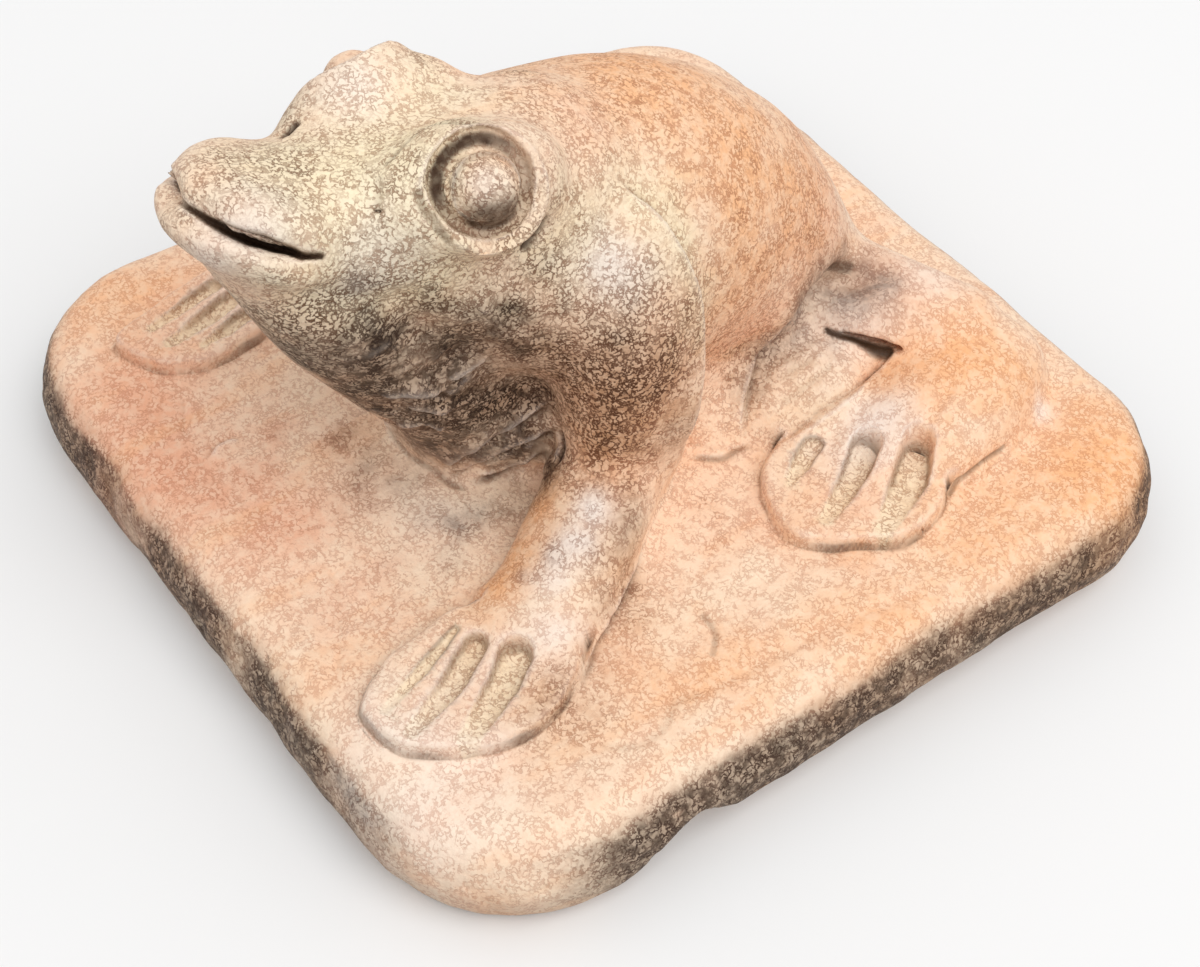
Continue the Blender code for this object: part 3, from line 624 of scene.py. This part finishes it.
# Painted highlights: the sheen on the snout, the shoulder, the forearm, the shin and the eyeball, and painted
# light on the cheek and the slab's corner.
PAINTED_HIGHLIGHTS = (
    (5, -39.5, 61.5, 3.2, 0.6), (15, -7.6, 46.6, 3.5, 0.8), (20.8, -14, 20.8, 2.0, 0.95),
    (22.6, -17.5, 19.4, 1.9, 0.85), (24.5, -21, 17.8, 2.0, 0.6), (28.5, -24, 16, 3.2, 0.6),
    (17, 24, 21, 5, 0.5), (26, 19, 17, 4, 0.9), (-6, -22, 61, 4, 0.6), (12.7, -20, 61.8, 2.2, 0.5),
    (17, 35, 22.5, 4, 0.4), (36, -44, 13, 8, 0.45), (6, -24, 13.5, 5, 0.25), (33, 38, 13.5, 1.6, 0.7),
    (10, -30, 55.5, 5, 0.5), (4, -43.5, 59, 2.5, 0.5), (27, -43, 14.5, 4, 0.4), (-4, -27, 64, 1.0, 0.9),
)


def patches(points, rows):
    """From 0 to 1, how strongly any of the round patches reaches each point, with ragged edges.

    A patch's strength falls off as a bell curve of the distance, which noise makes longer or shorter.
    What each patch leaves uncovered is multiplied, and the result is one less that product."""
    total = np.zeros(len(points))
    ragged = 1 + 0.35 * lattice_noise(points, 4.5, 31) + 0.2 * lattice_noise(points, 1.8, 32)
    for x, y, z, reach, strength in rows:
        gap = np.linalg.norm(points - (x, y, z), axis=1) * ragged
        total = 1 - (1 - total) * (1 - strength * np.exp(-(gap / reach) ** 2))
    return total


normals = normals_of(frog.data)
masks = {"smoke_and_shade": patches(skin, SMOKE_AND_SHADE), "buff": patches(skin, BUFF), "ember": patches(skin, EMBER),
         "blush": patches(skin, BLUSH), "pale": patches(skin, PAINTED_HIGHLIGHTS), "gritty": patches(skin, GRITTY)}
# The slab's sides were never smoothed: they are brown and rough between a paler top and bottom edge, and are
# also painted darker as shade because they face sideways.
flank = ramp(skin[:, 2], 0.3, 2.5) * (1 - ramp(skin[:, 2], 9.5, 12.8))
flank *= 1 - ramp(np.abs(normals[:, 2]), 0.45, 0.9)
flank *= np.clip(0.9 + 0.5 * lattice_noise(skin, 7, 41) + 0.3 * lattice_noise(skin, 2.5, 42), 0, 1)
# The slab's front left corner faces the light: the painted side shade is kept off it, and it is less gritty.
flank *= ramp(np.linalg.norm(skin[:, :2] - (47, -47), axis=1), 7, 18)
masks["smoke_and_shade"] = np.maximum(masks["smoke_and_shade"], 0.9 * flank)
masks["gritty"] = np.maximum(masks["gritty"], 0.6 * flank)
# Where a point is below the mean of the points round it, shade is painted in with some dirt, and an edge that
# is above is painted lighter, as rubbed wear and highlight.
FINE_PASSES = 8
BROAD_PASSES = 50
fine = ((spread(skin, edges, FINE_PASSES) - skin) * normals).sum(axis=1)
broad = ((spread(skin, edges, BROAD_PASSES) - skin) * normals).sum(axis=1)
masks["hollow"] = np.maximum(ramp(fine, 0.05, 0.28), 0.4 * ramp(broad, 0.15, 0.8))
masks["ridge"] = np.maximum(ramp(-fine, 0.02, 0.2), 0.5 * ramp(-broad, 0.1, 0.6))
# Deep hollows are painted as shade too, like the cuts and creases.
masks["crease_shade"] = np.maximum(crease_shade, 0.9 * ramp(broad, 0.45, 1.0))
# Clay under the painted highlights is less gritty, and the floors of the stick marks kept their buff slip and
# some grit.
masks["gritty"] = np.maximum(masks["gritty"] * (1 - 0.4 * masks["pale"]), 0.25 * pressed)
masks["buff"] = np.maximum(masks["buff"], 0.55 * pressed)
for name, values in masks.items():
    layer = frog.data.attributes.new(name, "FLOAT", "POINT")
    layer.data.foreach_set("value", np.clip(values, 0, 1).astype(np.float32))
# Clay without painted shade is thinned out, and the cut and pressed places, where shade is painted, keep
# every point.
NO_SHADE = 0.04
plain = frog.vertex_groups.new(name="plain")
plain.add(np.flatnonzero(crease_shade < NO_SHADE).tolist(), 1.0, "REPLACE")
faces = sum(len(face.vertices) - 2 for face in frog.data.polygons)
with_modifier(frog, "DECIMATE", ratio=min(1, SKIN_TRIANGLES / faces),
              vertex_group="plain", vertex_group_factor=1)
frog.vertex_groups.clear()


def node(tree, kind, **settings):
    """A new node with these settings."""
    made = tree.nodes.new(kind)
    for name, value in settings.items():
        setattr(made, name, value)
    return made


def math(tree, operation, a, b=0.5):
    """A Math node on two sockets or numbers."""
    made = node(tree, "ShaderNodeMath", operation=operation)
    for socket, value in zip(made.inputs, (a, b)):
        if isinstance(value, (int, float)):
            socket.default_value = value
        else:
            tree.links.new(value, socket)
    return made.outputs[0]


def noise(tree, coords, scale, detail, roughness):
    """Noise with the given number of features to the metre, and of finer layers."""
    made = node(tree, "ShaderNodeTexNoise")
    made.inputs["Scale"].default_value = scale
    made.inputs["Detail"].default_value = detail
    made.inputs["Roughness"].default_value = roughness
    tree.links.new(coords, made.inputs["Vector"])
    return made.outputs["Fac"]


def stretch(tree, value, low, high):
    """Maps low to 0 and high to 1, and clamps."""
    made = node(tree, "ShaderNodeMapRange", interpolation_type="SMOOTHSTEP")
    tree.links.new(value, made.inputs["Value"])
    made.inputs["From Min"].default_value = low
    made.inputs["From Max"].default_value = high
    return made.outputs["Result"]


def mixed(tree, factor, a, b, blend="MIX"):
    """A colour between a and b, or a multiplied by b, by a factor from 0 to 1."""
    made = node(tree, "ShaderNodeMix", data_type="RGBA", blend_type=blend, clamp_factor=True)
    for socket, value in ((made.inputs[0], factor), (made.inputs[6], a), (made.inputs[7], b)):
        if isinstance(value, (int, float)):
            socket.default_value = value
        elif isinstance(value, tuple):
            socket.default_value = (*value, 1)
        else:
            tree.links.new(value, socket)
    return made.outputs[2]


def sandy_grain():
    """The grain of the clay, on coordinates in metres: sand grains, clots of a millimetre, fine bent lines,
    the places where those show on plain clay, and blotches half a centimetre across.

    A bent line runs where noise is near its middle value."""
    group = bpy.data.node_groups.new("sandy grain", "ShaderNodeTree")
    group.interface.new_socket(name="Coordinates", in_out="INPUT", socket_type="NodeSocketVector")
    for name in ("Sand", "Clots", "Lines", "Lined places", "Mottle"):
        group.interface.new_socket(name=name, in_out="OUTPUT", socket_type="NodeSocketFloat")
    come, go = node(group, "NodeGroupInput"), node(group, "NodeGroupOutput")
    coords = come.outputs["Coordinates"]
    for name, scale, detail, roughness, low, high in (
        ("Sand", 2600, 2, 0.6, 0.33, 0.67),
        ("Clots", 800, 2.5, 0.6, 0.38, 0.62),
        ("Lined places", 600, 4, 0.65, 0.38, 0.54),
        ("Mottle", 170, 4, 0.6, 0.32, 0.68),
    ):
        speckle = stretch(group, noise(group, coords, scale, detail, roughness), low, high)
        group.links.new(speckle, go.inputs[name])
    middle = math(group, "SUBTRACT", noise(group, coords, 1400, 2.5, 0.6), 0.5)
    off_line = stretch(group, math(group, "ABSOLUTE", middle), 0.02, 0.085)
    group.links.new(math(group, "SUBTRACT", 1.0, off_line), go.inputs["Lines"])
    return group


CLAY_BODY = (1.0, 0.77, 0.57)
CLAY_EMBER = (0.97, 0.51, 0.25)
CLAY_BLUSH = (0.90, 0.45, 0.28)
CLAY_BUFF = (1.0, 0.87, 0.60)
# Smoke's brown, also used as painted shade.
CLAY_SMOKE_AND_SHADE = (0.07, 0.042, 0.025)
# The colour of the painted highlights.
CLAY_HIGHLIGHT = (0.98, 0.88, 0.80)
# Near black: the painted shade in cuts, creases and deep hollows.
CLAY_CREASE_SHADE = (0.06, 0.03, 0.015)
CLAY_SPECKS = (1.0, 0.84, 0.65)
# What darkens the clay is multiplied with its colour.
SHADE_SAND = (0.45, 0.33, 0.24)
SHADE_HOLLOW = (0.4, 0.27, 0.19)
SHADE_PLAIN_LINES = (0.42, 0.17, 0.09)
SHADE_GRITTY_LINES = (0.13, 0.075, 0.045)
RELIEF = 0.00013

fired_clay = bpy.data.materials.new("fired_clay")
fired_clay.use_nodes = True
tree = fired_clay.node_tree
shader = tree.nodes["Principled BSDF"]
place = node(tree, "ShaderNodeTexCoord").outputs["Object"]
grain = node(tree, "ShaderNodeGroup", node_tree=sandy_grain())
tree.links.new(place, grain.inputs["Coordinates"])
sand, clots, lines, lined, mottle = grain.outputs


def mask(name):
    """One of the masks worked out above."""
    return node(tree, "ShaderNodeAttribute", attribute_name=name).outputs["Fac"]


def scaled(value, by, plus=0.0):
    """value times by, plus a constant; by may be another mask."""
    product = math(tree, "MULTIPLY", value, by)
    return math(tree, "ADD", product, plus) if plus else product


def rest_of(value):
    """1 less the value."""
    return math(tree, "SUBTRACT", 1.0, value)


# The bent lines keep to places on plain clay, and run through everywhere on the gritty parts.
gritty = mask("gritty")
lines = scaled(lines, math(tree, "MAXIMUM", lined, gritty))
colour = mixed(tree, scaled(mottle, 0.24), CLAY_BODY, CLAY_BLUSH)
colour = mixed(tree, mask("blush"), colour, CLAY_BLUSH)
colour = mixed(tree, mask("ember"), colour, CLAY_EMBER)
# Wet hands left long strokes on the slab and the back, nearly straight from front to back.
STROKE_TURN = -0.12
STROKE_STRETCH = 0.22
strokes = node(tree, "ShaderNodeMapping")
strokes.inputs["Rotation"].default_value = (0, 0, STROKE_TURN)
strokes.inputs["Scale"].default_value = (1.0, STROKE_STRETCH, 1.0)
tree.links.new(place, strokes.inputs["Vector"])
strokes = stretch(tree, noise(tree, strokes.outputs["Vector"], 210, 3, 0.55), 0.5, 0.66)
colour = mixed(tree, scaled(strokes, 0.3), colour, CLAY_EMBER)
colour = mixed(tree, mask("buff"), colour, CLAY_BUFF)
# The clots between the lines are paler, and took less of the smoke and its painted shade.
light_specks = scaled(clots, rest_of(lines))
colour = mixed(tree, scaled(light_specks, 0.25), colour, CLAY_SPECKS)
colour = mixed(tree, scaled(mask("smoke_and_shade"), rest_of(scaled(light_specks, 0.42))), colour, CLAY_SMOKE_AND_SHADE)
# Painted highlights and painted light.
colour = mixed(tree, mask("pale"), colour, CLAY_HIGHLIGHT)
# Sand grains stand out pale, and the bent lines between them are darker, most on the gritty parts.
between_sand = scaled(rest_of(sand), scaled(gritty, 0.12, 0.06))
colour = mixed(tree, between_sand, colour, SHADE_SAND, "MULTIPLY")
line_shade = mixed(tree, gritty, SHADE_PLAIN_LINES, SHADE_GRITTY_LINES)
colour = mixed(tree, scaled(lines, scaled(gritty, 0.66, 0.34)), colour, line_shade, "MULTIPLY")
# Raised edges are painted lighter, as wear and highlight, and hollows darker, as shade.
colour = mixed(tree, scaled(mask("ridge"), 0.28), colour, CLAY_HIGHLIGHT)
colour = mixed(tree, scaled(mask("hollow"), 0.45), colour, SHADE_HOLLOW, "MULTIPLY")
# The cuts, creases and deep hollows are painted near black as shade.
colour = mixed(tree, mask("crease_shade"), colour, CLAY_CREASE_SHADE)
tree.links.new(colour, shader.inputs["Base Color"])
roughness = math(tree, "ADD", scaled(gritty, 0.16), scaled(sand, -0.1, 0.6))
tree.links.new(roughness, shader.inputs["Roughness"])
shader.inputs["Specular IOR Level"].default_value = 0.25
relief = math(tree, "ADD", scaled(clots, 0.5), scaled(sand, 0.4))
relief = math(tree, "SUBTRACT", relief, scaled(lines, 0.5))
relief = scaled(relief, scaled(gritty, 0.6, 0.4))
bump = node(tree, "ShaderNodeBump")
bump.inputs["Strength"].default_value = 1.0
bump.inputs["Distance"].default_value = RELIEF
tree.links.new(relief, bump.inputs["Height"])
tree.links.new(bump.outputs["Normal"], shader.inputs["Normal"])

frog.data.materials.clear()
frog.data.materials.append(fired_clay)
frog.data.shade_smooth()
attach(frog, "root")
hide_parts("frog_figurine")

# ---------------------------------------------------------------------------------------
# The floor, the light and the camera. A plain pale sheet lies under the plaque.
# One broad lamp hangs over the frog's left side, and a plain white sky lights the rest.
# The camera looks down on the frog's left cheek at 49 degrees, as the photograph does.
# ---------------------------------------------------------------------------------------
FLOOR_HALF = 3.0
FLOOR_COLOUR = (0.88, 0.88, 0.88)
FLOOR_GLOW = (0.30, 0.30, 0.30)
LAMP_TOWARDS = Vector((0.6, 0.03, 1.0))
LAMP_DISTANCE = 2.0
LAMP_SIZE = 1.8
LAMP_POWER = 18.5
AIR_STRENGTH = 0.76
CAMERA_AZIMUTH = 53.86
CAMERA_HEIGHT = 49.01
CAMERA_TILT = 0.41
CAMERA_DISTANCE = 0.24992
CAMERA_TARGET = Vector((0.01111, -0.0059, 0.010))
CAMERA_LENS = 69
FILM_WIDTH = 36

sheet = bpy.data.meshes.new("floor")
corners = [(x * FLOOR_HALF, y * FLOOR_HALF, 0) for x, y in ((-1, -1), (1, -1), (1, 1), (-1, 1))]
sheet.from_pydata(corners, [], [(0, 1, 2, 3)])
floor = bpy.data.objects.new("floor", sheet)
bpy.context.scene.collection.objects.link(floor)
floor_paper = bpy.data.materials.new("floor_paper")
floor_paper.use_nodes = True
paper = floor_paper.node_tree.nodes["Principled BSDF"]
# The sheet looks as pale as paper in the picture and in reflections, and throws less light up on the clay.
paper_tree = floor_paper.node_tree
rays = node(paper_tree, "ShaderNodeLightPath").outputs
looked_at = math(paper_tree, "MAXIMUM", rays["Is Camera Ray"], rays["Is Glossy Ray"])
looked_at = math(paper_tree, "MAXIMUM", looked_at, rays["Is Transmission Ray"])
seen = mixed(paper_tree, looked_at, FLOOR_GLOW, FLOOR_COLOUR)
paper_tree.links.new(seen, paper.inputs["Base Color"])
paper.inputs["Roughness"].default_value = 0.9
sheet.materials.append(floor_paper)

lamp = bpy.data.lights.new("lamp", "AREA")
lamp.shape = "DISK"
lamp.size = LAMP_SIZE
lamp.energy = LAMP_POWER
lamp_object = bpy.data.objects.new("lamp", lamp)
bpy.context.scene.collection.objects.link(lamp_object)
towards = LAMP_TOWARDS.normalized()
lamp_object.location = towards * LAMP_DISTANCE
lamp_object.rotation_euler = towards.to_track_quat("Z", "Y").to_euler()

air = bpy.data.worlds.new("air")
air.use_nodes = True
air.node_tree.nodes["Background"].inputs["Color"].default_value = (1, 1, 1, 1)
air.node_tree.nodes["Background"].inputs["Strength"].default_value = AIR_STRENGTH
bpy.context.scene.world = air

azimuth, raised = radians(CAMERA_AZIMUTH), radians(CAMERA_HEIGHT)
back = Vector((sin(azimuth) * cos(raised), -cos(azimuth) * cos(raised), sin(raised)))
right = Vector((cos(azimuth), sin(azimuth), 0))
up = back.cross(right)
tilt = radians(CAMERA_TILT)
right, up = right * cos(tilt) + up * sin(tilt), up * cos(tilt) - right * sin(tilt)
view = bpy.data.cameras.new("camera")
view.lens = CAMERA_LENS
view.sensor_width = FILM_WIDTH
camera = bpy.data.objects.new("camera", view)
bpy.context.scene.collection.objects.link(camera)
stand = Matrix.Translation(CAMERA_TARGET + back * CAMERA_DISTANCE)
camera.matrix_world = stand @ Matrix((right, up, back)).transposed().to_4x4()
bpy.context.scene.camera = camera
bpy.context.scene.view_settings.view_transform = "Standard"
